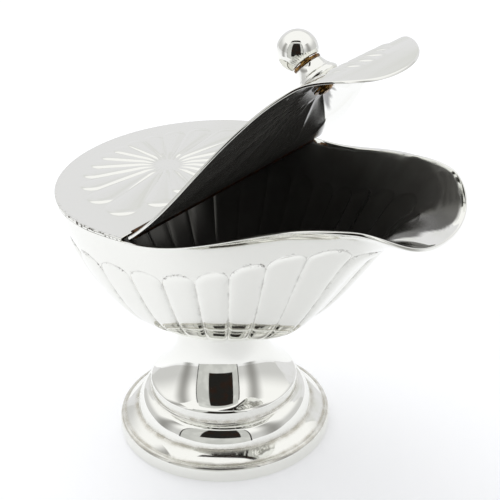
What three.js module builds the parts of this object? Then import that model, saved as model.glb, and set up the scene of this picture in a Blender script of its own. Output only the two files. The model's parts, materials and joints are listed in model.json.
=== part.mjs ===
// Incense boat of plated brass: a lobed bowl on a spun foot, a fixed rear lid and a hinged front lid.
// Millimetres, +Z up, +X toward the spout. The boat is drawn about its foot's axis, then centred in X.

import * as THREE from 'three';
import { mergeVertices } from 'three/addons/utils/BufferGeometryUtils.js';

// Plan of the rim, from the foot's axis
const REAR_REACH = 48.7;
const SPOUT_REACH = 79.3;
const HALF_WIDTH = 46.7;
const WIDEST_X = -6.2;
const FLANK_PULL = 32.3;
const SHOULDER_X = 51.9;
const SHOULDER_Y = 30.9;
const SHOULDER_SLOPE = -0.33;
const SHOULDER_PULL_BACK = 6;
const SHOULDER_PULL_FRONT = 18.8;
const SPOUT_HALF_PULL = 21.4;

// Height of the rim
const REAR_RIM_Z = 87;
const CREST_RISE = 12.7;
const CREST_X = 65.5;
const SPOUT_DROP = 8.4;

// Bowl wall: flare opens the wall near the rim, fullness rounds it near the seat, softness eases the lip
const BOWL_WALL = 1;
const BOWL_SEAT_Z = 42.9;
const BOWL_SEAT_RADIUS = 15;
const FLARE = { front: 0.011, side: 0.539, rear: 1.382 };
const FULLNESS = { front: 2.776, side: 2.487, rear: 2.004 };
const LIP_SOFTNESS = { tip: 0.004, flank: 0.15 };
const LIP_SPREAD = THREE.MathUtils.degToRad(30);

// Lobes of the bowl
const LOBE_COUNT = 28;
const LOBE_DEPTH = 1.2;
const LOBE_TOP_SHARE = 0.715;
const SPOUT_LOBE_LIFT = 0.2;
const SPOUT_LOBE_SPREAD = THREE.MathUtils.degToRad(20);
const LOBE_FADE = 5;

// Foot, in runs from the ovolo up to the bowl's seat
const FOOT_RADIUS = 35;
const FOOT_WALL = 1.2;
const BAND_HEIGHT = 4.6;
const BAND_WIDTH = 4;
const BAND_ROUND = 1.1;
const BAND_FILLET = 0.2;
const OVOLO_RADIUS = 29.4;
const OVOLO_TOP_RADIUS = 24.7;
const OVOLO_TOP_Z = 14.2;
const CAVETTO_RADIUS = 22.7;
const CAVETTO_Z = 17.3;
const NECK_START_RADIUS = 19.2;
const NECK_START_Z = 21;
const NECK_RADIUS = 15.2;
const NECK_Z = 31.4;
const NECK_TOP_RADIUS = 16;

// How far each run of the foot keeps its starting and ending direction, in shares of its width and height
const FOOT_RUNS = [
  { leave: [0, 0.31], arrive: [0.77, 0.15], divisions: 6 },
  { leave: [0.75, 0.13], arrive: [0.2, 0.52], divisions: 3 },
  { leave: [0.14, 0.38], arrive: [0.34, 0.43], divisions: 3 },
  { leave: [0.35, 0.19], arrive: [0, 0.48], divisions: 5 },
  { leave: [0, 0.43], arrive: [0.62, 0.26], divisions: 3 },
];

// Lids
const LID_THICKNESS = 0.8;
const LID_GAP = 0.3;
const PETAL_COUNT = 20;
const PETAL_HEIGHT = 0.5;
const PETAL_SHARE = 0.78;
const PETAL_FADE = 5;
const ROSETTE_X = -20;
const ROSETTE_EYE = 3.5;
const LID_EYE = 8;

// Hinge
const HINGE_X = 4.8;
const HINGE_ABOVE_RIM = 1;
const BARREL_RADIUS = 1.3;
const PIN_RADIUS = 0.6;
const PIN_CLEARANCE = 0.15;
const BARREL_INSET = 3.8;
const KNUCKLE_COUNT = 5;
const KNUCKLE_GAP = 0.3;
const OPEN_ANGLE = THREE.MathUtils.degToRad(35.8);

// Knob
const KNOB_X = 54.3;
const KNOB_BASE_RADIUS = 6.25;
const KNOB_BAND_HEIGHT = 2.9;
const KNOB_BAND_ROUND = 0.87;
const KNOB_CONE_HEIGHT = 6;
const KNOB_CONE_RADIUS = 4.1;
const COLLAR_RADIUS = 4.2;
const COLLAR_HEIGHT = 0.7;
const BALL_RADIUS = 5.85;
const BALL_CENTRE_HEIGHT = 11.1;
const SEAT_GAP = 0.3;
const STUD_RADIUS = 1.5;
const STUD_INTO_BALL = 4.5;
const STUD_HEAD_RADIUS = 2.4;
const STUD_HEAD_HEIGHT = 0.8;
const STUD_WASHER_RADIUS = 3.4;
const STUD_WASHER_HEIGHT = 0.5;
const STUD_CLEARANCE = 0.3;

// Bolt that holds the bowl on its foot
const BOLT_RADIUS = 2.5;
const BOLT_CLEARANCE = 0.3;
const BOLT_HEAD_RADIUS = 5.5;
const BOLT_HEAD_HEIGHT = 2;
const BOLT_HEAD_TOP_RADIUS = 4.1;
const BOLT_TAIL = 3;
const BOLT_NUT_RADIUS = 4.6;
const BOLT_NUT_HEIGHT = 4;
const BOLT_WASHER_RADIUS = 7;
const BOLT_WASHER_HEIGHT = 1;

// Mesh fineness
const FOOT_SEGMENTS = 44;
const SMALL_SEGMENTS = 24;
const TINY_SEGMENTS = 16;
const LOBE_STATIONS = [-1, -0.7, 0, 0.7];
const PETAL_STATIONS = [-1, -0.55, 0, 0.55];
const WALL_STATIONS = [0.2, 0.4, 0.6, 0.8, 1];
const ARCH_STATIONS = [0.9, 0.35, 0];
const RIM_STATIONS = [0.35, 0.72, 1];

const TAU = Math.PI * 2;
const HINGE_Z = REAR_RIM_Z + HINGE_ABOVE_RIM;
const CENTRE_SHIFT = -(SPOUT_REACH - REAR_REACH) / 2;
const HOLE_RADIUS = BOLT_RADIUS + BOLT_CLEARANCE;

const { clamp, lerp, smoothstep } = THREE.MathUtils;

const SILVER = 0xe6e7e2;
const BRASS = 0xb08a4e;

// Half of the rim in plan, from the rear to the tip of the spout
function makeHalfOutline() {
  const shoulder = new THREE.Vector2(SHOULDER_X, SHOULDER_Y);
  const along = new THREE.Vector2(1, SHOULDER_SLOPE).normalize();
  const widest = new THREE.Vector2(WIDEST_X, HALF_WIDTH);
  const flank = new THREE.CubicBezierCurve(
    widest,
    widest.clone().setX(WIDEST_X + FLANK_PULL),
    shoulder.clone().addScaledVector(along, -SHOULDER_PULL_BACK),
    shoulder,
  );
  const spout = new THREE.CubicBezierCurve(
    shoulder,
    shoulder.clone().addScaledVector(along, SHOULDER_PULL_FRONT),
    new THREE.Vector2(SPOUT_REACH, SPOUT_HALF_PULL),
    new THREE.Vector2(SPOUT_REACH, 0),
  );
  const rearX = WIDEST_X + REAR_REACH;
  const rear = new THREE.EllipseCurve(WIDEST_X, 0, rearX, HALF_WIDTH, Math.PI, Math.PI / 2, true);
  const points = [rear, flank, spout].flatMap((curve) => curve.getPoints(60).slice(0, -1));
  return [...points, new THREE.Vector2(SPOUT_REACH, 0)];
}

const HALF_OUTLINE = makeHalfOutline();

// Height of the rim over a station in X
function rimHeight(x) {
  const climb = clamp((x - HINGE_X) / (CREST_X - HINGE_X), 0, 1);
  const dip = Math.max(0, (x - CREST_X) / (SPOUT_REACH - CREST_X));
  return REAR_RIM_Z + CREST_RISE * (1 - Math.cos(Math.PI * climb)) / 2 - SPOUT_DROP * dip * dip;
}

// How steeply the rim climbs over a station in X
function rimSlope(x) {
  const run = CREST_X - HINGE_X;
  return Math.PI * CREST_RISE / (2 * run) * Math.sin(Math.PI * (x - HINGE_X) / run);
}

// Distance from a point on the axis of symmetry to an outline, in one direction
function reach(outline, fromX, angle) {
  const side = Math.abs(Math.atan2(Math.sin(angle), Math.cos(angle)));
  const dx = Math.cos(side);
  const dy = Math.sin(side);
  for (let i = 1; i < outline.length; i += 1) {
    const a = outline[i - 1];
    const b = outline[i];
    const ca = dx * a.y - dy * (a.x - fromX);
    const cb = dx * b.y - dy * (b.x - fromX);
    if (ca >= 0 !== cb >= 0 || cb === 0) {
      const t = ca / (ca - cb);
      const along = dx * (lerp(a.x, b.x, t) - fromX) + dy * lerp(a.y, b.y, t);
      if (along > 0) return along;
    }
  }
  return Math.abs((side < Math.PI / 2 ? outline.at(-1).x : outline[0].x) - fromX);
}

// Half the rim's width over a station in X
function halfWidthAt(x) {
  return reach(HALF_OUTLINE, x, Math.PI / 2);
}

// A value given at the spout, the flanks and the rear, blended round the bowl
function aroundBowl(value, angle) {
  const c = Math.cos(angle);
  const tilt = (value.front / value.rear) ** (c / 2);
  const bend = (value.front * value.rear / value.side ** 2) ** (c * c / 2);
  return value.side * tilt * bend;
}

// The plain wall in one radial plane, with its length measured up from the seat
function wallProfile(angle) {
  const radius = reach(HALF_OUTLINE, 0, angle);
  const rimZ = rimHeight(radius * Math.cos(angle));
  const flare = aroundBowl(FLARE, angle);
  const fullness = aroundBowl(FULLNESS, angle);
  const turn = Math.atan2(Math.sin(angle), Math.cos(angle));
  const soft = lerp(LIP_SOFTNESS.flank, LIP_SOFTNESS.tip, Math.exp(-((turn / LIP_SPREAD) ** 2)));
  const bend = (left) => ((left + soft) ** flare - soft ** flare) / ((1 + soft) ** flare - soft ** flare);
  const at = (rise) => {
    const spread = Math.max(0, 1 - bend(1 - rise)) ** (1 / fullness);
    return new THREE.Vector2(lerp(BOWL_SEAT_RADIUS, radius, spread), lerp(BOWL_SEAT_Z, rimZ, rise));
  };
  const steps = 160;
  const rises = [0];
  const lengths = [0];
  let last = at(0);
  for (let i = 1; i <= steps; i += 1) {
    const s = i / steps;
    const rise = s < 0.5 ? 4 * s ** 3 : 1 - 8 * (1 - s) ** 4;
    const point = at(rise);
    rises.push(rise);
    lengths.push(lengths.at(-1) + point.distanceTo(last));
    last = point;
  }
  const riseAtLength = (length) => interpolate(lengths, rises, length);
  const lengthAtRise = (rise) => interpolate(rises, lengths, rise);
  return { at, riseAtLength, lengthAtRise, length: lengths.at(-1) };
}

function interpolate(keys, values, key) {
  let i = 1;
  while (i < keys.length - 1 && keys[i] < key) i += 1;
  const t = clamp((key - keys[i - 1]) / (keys[i] - keys[i - 1]), 0, 1);
  return lerp(values[i - 1], values[i], t);
}

function around(angle, point) {
  return new THREE.Vector3(point.x * Math.cos(angle), point.x * Math.sin(angle), point.y);
}

// Outward normal of the plain wall, taken a little below the rim where the flare ends sharply
function wallNormal(angle, share) {
  const step = 0.002;
  const low = clamp(share - step, 0.004, 0.97);
  const pointAt = (turn, where) => {
    const profile = wallProfile(turn);
    return around(turn, profile.at(profile.riseAtLength(where * profile.length)));
  };
  const round = pointAt(angle + step, low).sub(pointAt(angle - step, low));
  const up = pointAt(angle, low + step).sub(pointAt(angle, low));
  return round.cross(up).normalize();
}

// Angles that part the lobes, spaced evenly by length round the bowl at the height of their tops
function lobeDivisions() {
  const steps = 1440;
  const lengths = [0];
  const angles = [0];
  const ringPoint = (angle) => around(angle, wallProfile(angle).at(LOBE_TOP_SHARE));
  let last = ringPoint(0);
  for (let i = 1; i <= steps; i += 1) {
    const angle = TAU * i / steps;
    const point = ringPoint(angle);
    lengths.push(lengths.at(-1) + point.distanceTo(last));
    angles.push(angle);
    last = point;
  }
  const pitch = lengths.at(-1) / LOBE_COUNT;
  const divisions = [];
  for (let i = 0; i <= LOBE_COUNT; i += 1) {
    const place = (i - 0.5) * pitch;
    divisions.push(place < 0 ? -interpolate(lengths, angles, -place) : interpolate(lengths, angles, place));
  }
  return divisions;
}

// Where a lobe's rounded top lies on the wall, and how far the lobe swells at a place on it
function lobeAt(angle, across, width, profile) {
  const turn = Math.atan2(Math.sin(angle), Math.cos(angle));
  const lift = SPOUT_LOBE_LIFT * Math.exp(-((turn / SPOUT_LOBE_SPREAD) ** 2));
  const topRise = LOBE_TOP_SHARE + lift;
  const halfPitch = profile.at(topRise).x * width / 2;
  const crown = profile.lengthAtRise(topRise);
  const archCentre = crown - halfPitch;
  const arch = archCentre + halfPitch * Math.sqrt(Math.max(0, 1 - across * across));
  const swell = (length) => {
    const above = Math.max(0, (length - archCentre) / halfPitch);
    const local = profile.at(profile.riseAtLength(length)).x * width / (2 * halfPitch);
    const round = Math.max(0, 1 - across * across - above * above);
    return LOBE_DEPTH * Math.min(1, local) * round * smoothstep(length, 0, LOBE_FADE);
  };
  return { arch, halfPitch, swell };
}

// One upright line of points on the bowl: its outer and inner faces from the seat to the rim
function bowlColumn(angle, across, width) {
  const profile = wallProfile(angle);
  const lobe = lobeAt(angle, across, width, profile);
  const [lobeFoot, ...arch] = ARCH_STATIONS.map((share) => lobe.arch - lobe.halfPitch * share);
  const lengths = [
    0,
    ...WALL_STATIONS.map((share) => lobeFoot * share),
    ...arch,
    ...RIM_STATIONS.map((share) => lerp(lobe.arch, profile.length, share)),
  ];
  const rimNormal = wallNormal(angle, 1);
  const rimPoint = around(angle, profile.at(1));
  const level = 1 - smoothstep(rimPoint.x, HINGE_X, CREST_X);
  const drop = BOWL_WALL * Math.abs(rimNormal.z) * (1 - level);
  const outer = [];
  const inner = [];
  lengths.forEach((length, row) => {
    const share = length / profile.length;
    const nearRim = share ** 6;
    const normal = row === 0 ? new THREE.Vector3(0, 0, -1) : wallNormal(angle, share);
    normal.z *= 1 - level * nearRim;
    normal.normalize();
    const point = around(angle, profile.at(profile.riseAtLength(length)));
    point.addScaledVector(normal, lobe.swell(length));
    point.z -= drop * nearRim;
    const inside = point.clone().addScaledVector(normal, -BOWL_WALL);
    if (row === lengths.length - 1) inside.z = rimHeight(inside.x);
    outer.push(point);
    inner.push(inside);
  });
  return { outer, inner };
}

// Closes a shell from rings of points: each ring joins the next, and the last joins the first
function ringShell(rings) {
  const columns = rings[0].length;
  const positions = rings.flat().flatMap((point) => [point.x, point.y, point.z]);
  const index = [];
  rings.forEach((ring, row) => {
    const next = (row + 1) % rings.length;
    for (let i = 0; i < columns; i += 1) {
      const j = (i + 1) % columns;
      const a = row * columns + i;
      const b = row * columns + j;
      const c = next * columns + j;
      const d = next * columns + i;
      if (i % 2 === 0) index.push(a, b, c, a, c, d);
      else index.push(a, b, d, b, c, d);
    }
  });
  const geometry = new THREE.BufferGeometry();
  geometry.setAttribute('position', new THREE.Float32BufferAttribute(positions, 3));
  geometry.setIndex(index);
  return weld(geometry);
}

function circleRing(angles, radius, z) {
  return angles.map((angle) => around(angle, new THREE.Vector2(radius, z)));
}

function bowlGeometry() {
  const divisions = lobeDivisions();
  const angles = [];
  const columns = [];
  for (let i = 0; i < LOBE_COUNT; i += 1) {
    const middle = (divisions[i] + divisions[i + 1]) / 2;
    const width = divisions[i + 1] - divisions[i];
    for (const across of LOBE_STATIONS) {
      const angle = middle + across * width / 2;
      angles.push(angle);
      columns.push(bowlColumn(angle, across, width));
    }
  }
  const rows = columns[0].outer.length;
  const rings = [circleRing(angles, HOLE_RADIUS, BOWL_SEAT_Z)];
  for (let row = 0; row < rows; row += 1) rings.push(columns.map((column) => column.outer[row]));
  for (let row = rows - 1; row >= 0; row -= 1) rings.push(columns.map((column) => column.inner[row]));
  rings.push(circleRing(angles, HOLE_RADIUS, BOWL_SEAT_Z + BOWL_WALL));
  return ringShell(rings);
}

// A closed revolve about Z, from points that run up the outside and back down the inside
function revolve(points, segments) {
  return turned([...points, points[0]], segments);
}

// One curved run of a profile between two points
function profileRun([r0, z0], [r1, z1], { leave, arrive, divisions }) {
  const curve = new THREE.CubicBezierCurve(
    new THREE.Vector2(r0, z0),
    new THREE.Vector2(lerp(r0, r1, leave[0]), lerp(z0, z1, leave[1])),
    new THREE.Vector2(lerp(r1, r0, arrive[0]), lerp(z1, z0, arrive[1])),
    new THREE.Vector2(r1, z1),
  );
  return curve.getPoints(divisions).map((point) => [point.x, point.y]);
}

// Moves a run of profile points sideways by the wall, toward the axis
function insetRun(points, distance) {
  return points.map(([radius, z], i) => {
    const [r0, z0] = points[Math.max(0, i - 1)];
    const [r1, z1] = points[Math.min(points.length - 1, i + 1)];
    const length = Math.hypot(r1 - r0, z1 - z0);
    return [radius - distance * (z1 - z0) / length, z + distance * (r1 - r0) / length];
  });
}

function footGeometry() {
  const topZ = BOWL_SEAT_Z;
  const stops = [
    [OVOLO_RADIUS, BAND_HEIGHT + BAND_FILLET],
    [OVOLO_TOP_RADIUS, OVOLO_TOP_Z],
    [CAVETTO_RADIUS, CAVETTO_Z],
    [NECK_START_RADIUS, NECK_START_Z],
    [NECK_RADIUS, NECK_Z],
    [NECK_TOP_RADIUS, topZ],
  ];
  const runs = FOOT_RUNS.map((handles, i) => profileRun(stops[i], stops[i + 1], handles));
  const shell = runs.flatMap((points, i) => (i === 0 ? points : points.slice(1)));
  const inside = insetRun(shell, FOOT_WALL).filter((_, i) => i % 2 === 0);
  const inTop = [inside.at(-1)[0], topZ - FOOT_WALL];
  const bandInside = FOOT_RADIUS - BAND_WIDTH;
  return revolve([
    [bandInside, 0],
    [FOOT_RADIUS, 0],
    [FOOT_RADIUS, BAND_HEIGHT / 2],
    [FOOT_RADIUS - BAND_ROUND / 3, BAND_HEIGHT - BAND_ROUND],
    [FOOT_RADIUS - BAND_ROUND, BAND_HEIGHT],
    [bandInside, BAND_HEIGHT],
    ...shell,
    [HOLE_RADIUS, topZ],
    [HOLE_RADIUS, topZ - FOOT_WALL],
    inTop,
    ...inside.slice(1, -1).reverse(),
    [OVOLO_RADIUS - FOOT_WALL, BAND_HEIGHT - FOOT_WALL],
    [bandInside, BAND_HEIGHT - FOOT_WALL],
  ], FOOT_SEGMENTS);
}

// A lid's outline on one side, cut off square at a line across the boat
function cutOutline(cutX, keepFront) {
  const corner = new THREE.Vector2(cutX, halfWidthAt(cutX));
  const middle = new THREE.Vector2(cutX, 0);
  const kept = HALF_OUTLINE.filter((point) => (keepFront ? point.x > cutX : point.x < cutX));
  return { corner, outline: keepFront ? [middle, corner, ...kept] : [...kept, corner, middle] };
}

// Raised petals round an eye: their height at a place given by direction and distance
function petalRelief(outline, centreX, eyeRadius) {
  const pitch = TAU / PETAL_COUNT;
  const tipOf = (angle) => {
    const middle = Math.round(angle / pitch) * pitch;
    const across = 2 * (angle - middle) / pitch;
    const far = PETAL_SHARE * reach(outline, centreX, middle);
    const halfWidth = Math.min(far * Math.tan(pitch / 2), (far - eyeRadius) / 2);
    return { across, far, halfWidth };
  };
  const tip = (angle) => {
    const { across, far, halfWidth } = tipOf(angle);
    return far - halfWidth * (1 - Math.sqrt(Math.max(0, 1 - across * across)));
  };
  const height = (angle, distance) => {
    const { across, far, halfWidth } = tipOf(angle);
    const beyond = Math.max(0, (distance - far + halfWidth) / halfWidth);
    const round = Math.max(0, 1 - across * across - beyond * beyond);
    return PETAL_HEIGHT * round * smoothstep(distance, eyeRadius, eyeRadius + PETAL_FADE);
  };
  return { tip, height };
}

// A pressed sheet between its underside and top, drawn in rays from a centre out to its edge
function lidGeometry({ outline, corner, centreX, eyeRadius, holeRadius, underside }) {
  const relief = petalRelief(outline, centreX, eyeRadius);
  const pitch = TAU / PETAL_COUNT;
  const cornerAngle = Math.atan2(corner.y, corner.x - centreX);
  const angles = [cornerAngle, TAU - cornerAngle];
  for (let i = 0; i < PETAL_COUNT; i += 1) {
    for (const across of PETAL_STATIONS) {
      const angle = (i + across / 2) * pitch;
      angles.push(angle < 0 ? angle + TAU : angle);
    }
  }
  angles.sort((a, b) => a - b);
  const ring = (distanceAt, lift) => angles.map((angle) => {
    const distance = distanceAt(angle);
    const x = centreX + distance * Math.cos(angle);
    const z = underside(x) + relief.height(angle, distance) + lift;
    return new THREE.Vector3(x, distance * Math.sin(angle), z);
  });
  const rows = [
    () => holeRadius,
    () => eyeRadius,
    (angle) => lerp(eyeRadius, relief.tip(angle), 0.35),
    (angle) => lerp(eyeRadius, relief.tip(angle), 0.8),
    (angle) => relief.tip(angle),
    (angle) => reach(outline, centreX, angle),
  ];
  const below = rows.map((row) => ring(row, 0));
  const above = rows.map((row) => ring(row, LID_THICKNESS)).reverse();
  return ringShell([...below, ...above]);
}

// A ring with flat ends round Z
function tube(boreRadius, radius, bottom, top, segments) {
  return revolve([[boreRadius, bottom], [radius, bottom], [radius, top], [boreRadius, top]], segments);
}

// A solid revolve about Z, from points that start and end on the axis
function turned(points, segments) {
  const profile = points.map(([radius, z]) => new THREE.Vector2(radius, z));
  return weld(new THREE.LatheGeometry(profile, segments).rotateX(Math.PI / 2));
}

// Merges the seam and the pole of a revolve, and drops the triangles that shrink to nothing there
function weld(geometry) {
  geometry.deleteAttribute('uv');
  geometry.deleteAttribute('normal');
  const merged = mergeVertices(geometry, 1e-4);
  const corners = Array.from(merged.index.array);
  const kept = [];
  for (let i = 0; i < corners.length; i += 3) {
    const [a, b, c] = corners.slice(i, i + 3);
    if (a !== b && b !== c && c !== a) kept.push(a, b, c);
  }
  merged.setIndex(kept);
  merged.computeVertexNormals();
  return merged;
}

function hexNut(cornerRadius, boreRadius, bottom, height) {
  const corners = Array.from({ length: 6 }, (_, i) => {
    const angle = TAU * i / 6;
    return new THREE.Vector2(cornerRadius * Math.cos(angle), cornerRadius * Math.sin(angle));
  });
  const shape = new THREE.Shape(corners);
  shape.holes.push(new THREE.Path().absarc(0, 0, boreRadius, 0, TAU, true));
  const options = { depth: height, bevelEnabled: false, curveSegments: TINY_SEGMENTS };
  return weld(new THREE.ExtrudeGeometry(shape, options).translate(0, 0, bottom));
}

function addBody(boat) {
  addPiece(boat, 'foot', footGeometry(), SILVER);
  addPiece(boat, 'bowl', bowlGeometry(), SILVER);
  addPiece(boat, 'rear_lid', lidGeometry({
    ...cutOutline(HINGE_X - BARREL_RADIUS - SEAT_GAP, false),
    centreX: ROSETTE_X,
    eyeRadius: ROSETTE_EYE,
    holeRadius: 0,
    underside: () => REAR_RIM_Z,
  }), SILVER);
}

// The bolt goes down through the bowl's floor and the foot's top plate into a washer and nut
function addBolt(boat) {
  const floor = BOWL_SEAT_Z + BOWL_WALL;
  const plate = BOWL_SEAT_Z - FOOT_WALL;
  const nutTop = plate - BOLT_WASHER_HEIGHT;
  const end = nutTop - BOLT_NUT_HEIGHT - BOLT_TAIL;
  addPiece(boat, 'stem_bolt', turned([
    [0, end],
    [BOLT_RADIUS, end],
    [BOLT_RADIUS, floor],
    [BOLT_HEAD_RADIUS, floor],
    [BOLT_HEAD_RADIUS, floor + BOLT_HEAD_HEIGHT / 2],
    [BOLT_HEAD_TOP_RADIUS, floor + BOLT_HEAD_HEIGHT],
    [0, floor + BOLT_HEAD_HEIGHT],
  ], SMALL_SEGMENTS), BRASS);
  addPiece(boat, 'stem_washer', tube(HOLE_RADIUS, BOLT_WASHER_RADIUS, nutTop, plate, SMALL_SEGMENTS), BRASS);
  const nut = hexNut(BOLT_NUT_RADIUS, HOLE_RADIUS, nutTop - BOLT_NUT_HEIGHT, BOLT_NUT_HEIGHT);
  addPiece(boat, 'stem_nut', nut, BRASS);
}

// The barrel's knuckles belong in turn to the rear lid and the front lid, round one pin
function addHinge(boat, lid) {
  const halfLength = halfWidthAt(HINGE_X) - BARREL_INSET;
  const length = (2 * halfLength - (KNUCKLE_COUNT - 1) * KNUCKLE_GAP) / KNUCKLE_COUNT;
  const names = ['near', 'near', 'middle', 'far', 'far'];
  for (let i = 0; i < KNUCKLE_COUNT; i += 1) {
    const middle = (i - (KNUCKLE_COUNT - 1) / 2) * (length + KNUCKLE_GAP);
    const moves = i % 2 === 1;
    const knuckle = tube(PIN_RADIUS + PIN_CLEARANCE, BARREL_RADIUS, -length / 2, length / 2, TINY_SEGMENTS);
    knuckle.rotateX(Math.PI / 2).translate(HINGE_X, middle, HINGE_Z);
    addPiece(moves ? lid : boat, `${moves ? 'lid' : 'rear'}_knuckle_${names[i]}`, knuckle, BRASS);
  }
  const pin = turned([
    [0, -halfLength],
    [PIN_RADIUS, -halfLength],
    [PIN_RADIUS, halfLength],
    [0, halfLength],
  ], TINY_SEGMENTS);
  addPiece(boat, 'hinge_pin', pin.rotateX(Math.PI / 2).translate(HINGE_X, 0, HINGE_Z), BRASS);
}

// The knob is a flared base, a collar and a ball on one stud, whose low head grips a washer below the lid
function addKnob(knob, lidDepth) {
  const base = SEAT_GAP;
  const bore = STUD_RADIUS + STUD_CLEARANCE;
  addPiece(knob, 'knob_base', revolve([
    [bore, base],
    [KNOB_BASE_RADIUS - KNOB_BAND_ROUND, base],
    [KNOB_BASE_RADIUS, base + KNOB_BAND_ROUND],
    [KNOB_BASE_RADIUS, base + KNOB_BAND_HEIGHT - 1.5 * KNOB_BAND_ROUND],
    [KNOB_BASE_RADIUS - KNOB_BAND_ROUND, base + KNOB_BAND_HEIGHT],
    [KNOB_CONE_RADIUS, KNOB_CONE_HEIGHT],
    [bore, KNOB_CONE_HEIGHT],
  ], SMALL_SEGMENTS), SILVER);
  const collarBottom = KNOB_CONE_HEIGHT + SEAT_GAP;
  const collarTop = collarBottom + COLLAR_HEIGHT;
  addPiece(knob, 'knob_collar', tube(bore, COLLAR_RADIUS, collarBottom, collarTop, SMALL_SEGMENTS), BRASS);
  const flat = collarTop + SEAT_GAP;
  const studTop = flat + STUD_INTO_BALL;
  const flatAngle = Math.acos((flat - BALL_CENTRE_HEIGHT) / BALL_RADIUS);
  const steps = 10;
  const ball = Array.from({ length: steps + 1 }, (_, i) => {
    const angle = flatAngle * (1 - i / steps);
    return [BALL_RADIUS * Math.sin(angle), BALL_CENTRE_HEIGHT + BALL_RADIUS * Math.cos(angle)];
  });
  ball[steps][0] = 0;
  const socketTop = studTop + SEAT_GAP;
  const socket = [[0, socketTop], [bore, socketTop], [bore, flat]];
  addPiece(knob, 'knob_ball', turned([...socket, ...ball], SMALL_SEGMENTS), SILVER);
  const washerTop = -lidDepth - SEAT_GAP;
  const headTop = washerTop - STUD_WASHER_HEIGHT - SEAT_GAP;
  addPiece(knob, 'knob_stud', turned([
    [0, headTop - STUD_HEAD_HEIGHT],
    [STUD_RADIUS, headTop - STUD_HEAD_HEIGHT],
    [STUD_HEAD_RADIUS, headTop - STUD_HEAD_HEIGHT / 2],
    [STUD_HEAD_RADIUS, headTop],
    [STUD_RADIUS, headTop],
    [STUD_RADIUS, studTop],
    [0, studTop],
  ], TINY_SEGMENTS), BRASS);
  const washer = tube(bore, STUD_WASHER_RADIUS, washerTop - STUD_WASHER_HEIGHT, washerTop, TINY_SEGMENTS);
  addPiece(knob, 'knob_washer', washer, BRASS);
}

function addPiece(parent, name, geometry, color) {
  const roughness = color === BRASS ? 0.3 : 0.08;
  const mesh = new THREE.Mesh(geometry, new THREE.MeshStandardMaterial({ color, roughness, metalness: 1 }));
  mesh.name = name;
  parent.add(mesh);
}

// The front lid is drawn shut, in a group that turns about the hinge pin to its open place
function makeBoat() {
  const boat = new THREE.Group();
  boat.position.x = CENTRE_SHIFT;
  addBody(boat);
  addBolt(boat);

  const turning = new THREE.Group();
  turning.position.set(HINGE_X, 0, HINGE_Z);
  turning.rotation.y = -OPEN_ANGLE;
  boat.add(turning);
  const lid = new THREE.Group();
  lid.position.set(-HINGE_X, 0, -HINGE_Z);
  turning.add(lid);
  const underside = (x) => rimHeight(x) + LID_GAP;
  addPiece(lid, 'front_lid', lidGeometry({
    ...cutOutline(HINGE_X + BARREL_RADIUS + SEAT_GAP, true),
    centreX: KNOB_X,
    eyeRadius: LID_EYE,
    holeRadius: STUD_RADIUS + STUD_CLEARANCE,
    underside,
  }), SILVER);
  addHinge(boat, lid);

  const slope = Math.atan(rimSlope(KNOB_X));
  const knob = new THREE.Group();
  knob.position.set(KNOB_X, 0, underside(KNOB_X) + LID_THICKNESS);
  knob.rotation.y = -slope;
  lid.add(knob);
  addKnob(knob, LID_THICKNESS * Math.cos(slope));
  return boat;
}

export default makeBoat();
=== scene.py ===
"""Incense boat in nickel-plated brass: a lobed bowl on a spun foot, a fixed rear lid and a hinged front lid."""

import json
import bpy
import numpy as np
from mathutils import Matrix, Vector

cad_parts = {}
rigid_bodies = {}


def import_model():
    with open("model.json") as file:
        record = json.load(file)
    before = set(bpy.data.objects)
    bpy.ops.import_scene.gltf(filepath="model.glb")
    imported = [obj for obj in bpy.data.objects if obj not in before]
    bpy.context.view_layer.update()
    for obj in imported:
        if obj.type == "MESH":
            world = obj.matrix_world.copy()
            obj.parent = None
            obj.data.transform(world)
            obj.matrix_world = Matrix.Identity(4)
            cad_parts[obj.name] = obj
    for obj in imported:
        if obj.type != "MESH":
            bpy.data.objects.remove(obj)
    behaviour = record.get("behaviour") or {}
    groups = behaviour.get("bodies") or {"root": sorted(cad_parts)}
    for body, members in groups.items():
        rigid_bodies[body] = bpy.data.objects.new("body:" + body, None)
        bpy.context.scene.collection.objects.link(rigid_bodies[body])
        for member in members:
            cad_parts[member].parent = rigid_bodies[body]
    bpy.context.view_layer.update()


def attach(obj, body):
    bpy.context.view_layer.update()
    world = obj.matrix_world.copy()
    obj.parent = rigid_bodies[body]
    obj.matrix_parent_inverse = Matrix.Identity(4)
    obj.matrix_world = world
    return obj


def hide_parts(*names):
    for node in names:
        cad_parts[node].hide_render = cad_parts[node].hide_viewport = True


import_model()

bl_info = {
    "name": "Incense boat",
    "version": (1, 0, 0),
    "blender": (4, 5, 0),
    "location": "View3D > Sidebar > Incense boat",
    "description": "Builds the pieces and the finishes of an incense boat on its CAD frame",
    "category": "Object",
}

TAU = 2 * np.pi

# Fineness of the curves and surfaces: points across or along each part
OUTLINE_POINTS = 120
SPOUT_POINTS = 160
CUT_POINTS = 80
WALL_STEPS = 241
RING_STEPS = 1441
LOBE_COLUMNS = 16
LOBE_ROWS = 64
RIM_ROWS = 30
PETAL_COLUMNS = 16
EYE_ROWS = 8
PETAL_ROWS = 40
LID_RIM_ROWS = 14
FOOT_COLUMNS = 160
FOOT_RUN_ROWS = 24
BAND_EDGE_ROWS = 14
BEAD_ROWS = 16
KNOB_COLUMNS = 96
CONE_ROWS = 16
BALL_ROWS = 60
KNUCKLE_ROWS = 72


def length(name, description, millimetres):
    """A length that a user may change, given in millimetres and kept in metres."""
    return bpy.props.FloatProperty(
        name=name, description=description, default=millimetres / 1000, subtype="DISTANCE", unit="LENGTH")


def linear(code):
    """An sRGB hex code as linear red, green and blue."""
    value = np.array([int(code[i:i + 2], 16) for i in (1, 3, 5)]) / 255
    return tuple(np.where(value <= 0.04045, value / 12.92, ((value + 0.055) / 1.055) ** 2.4))


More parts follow.
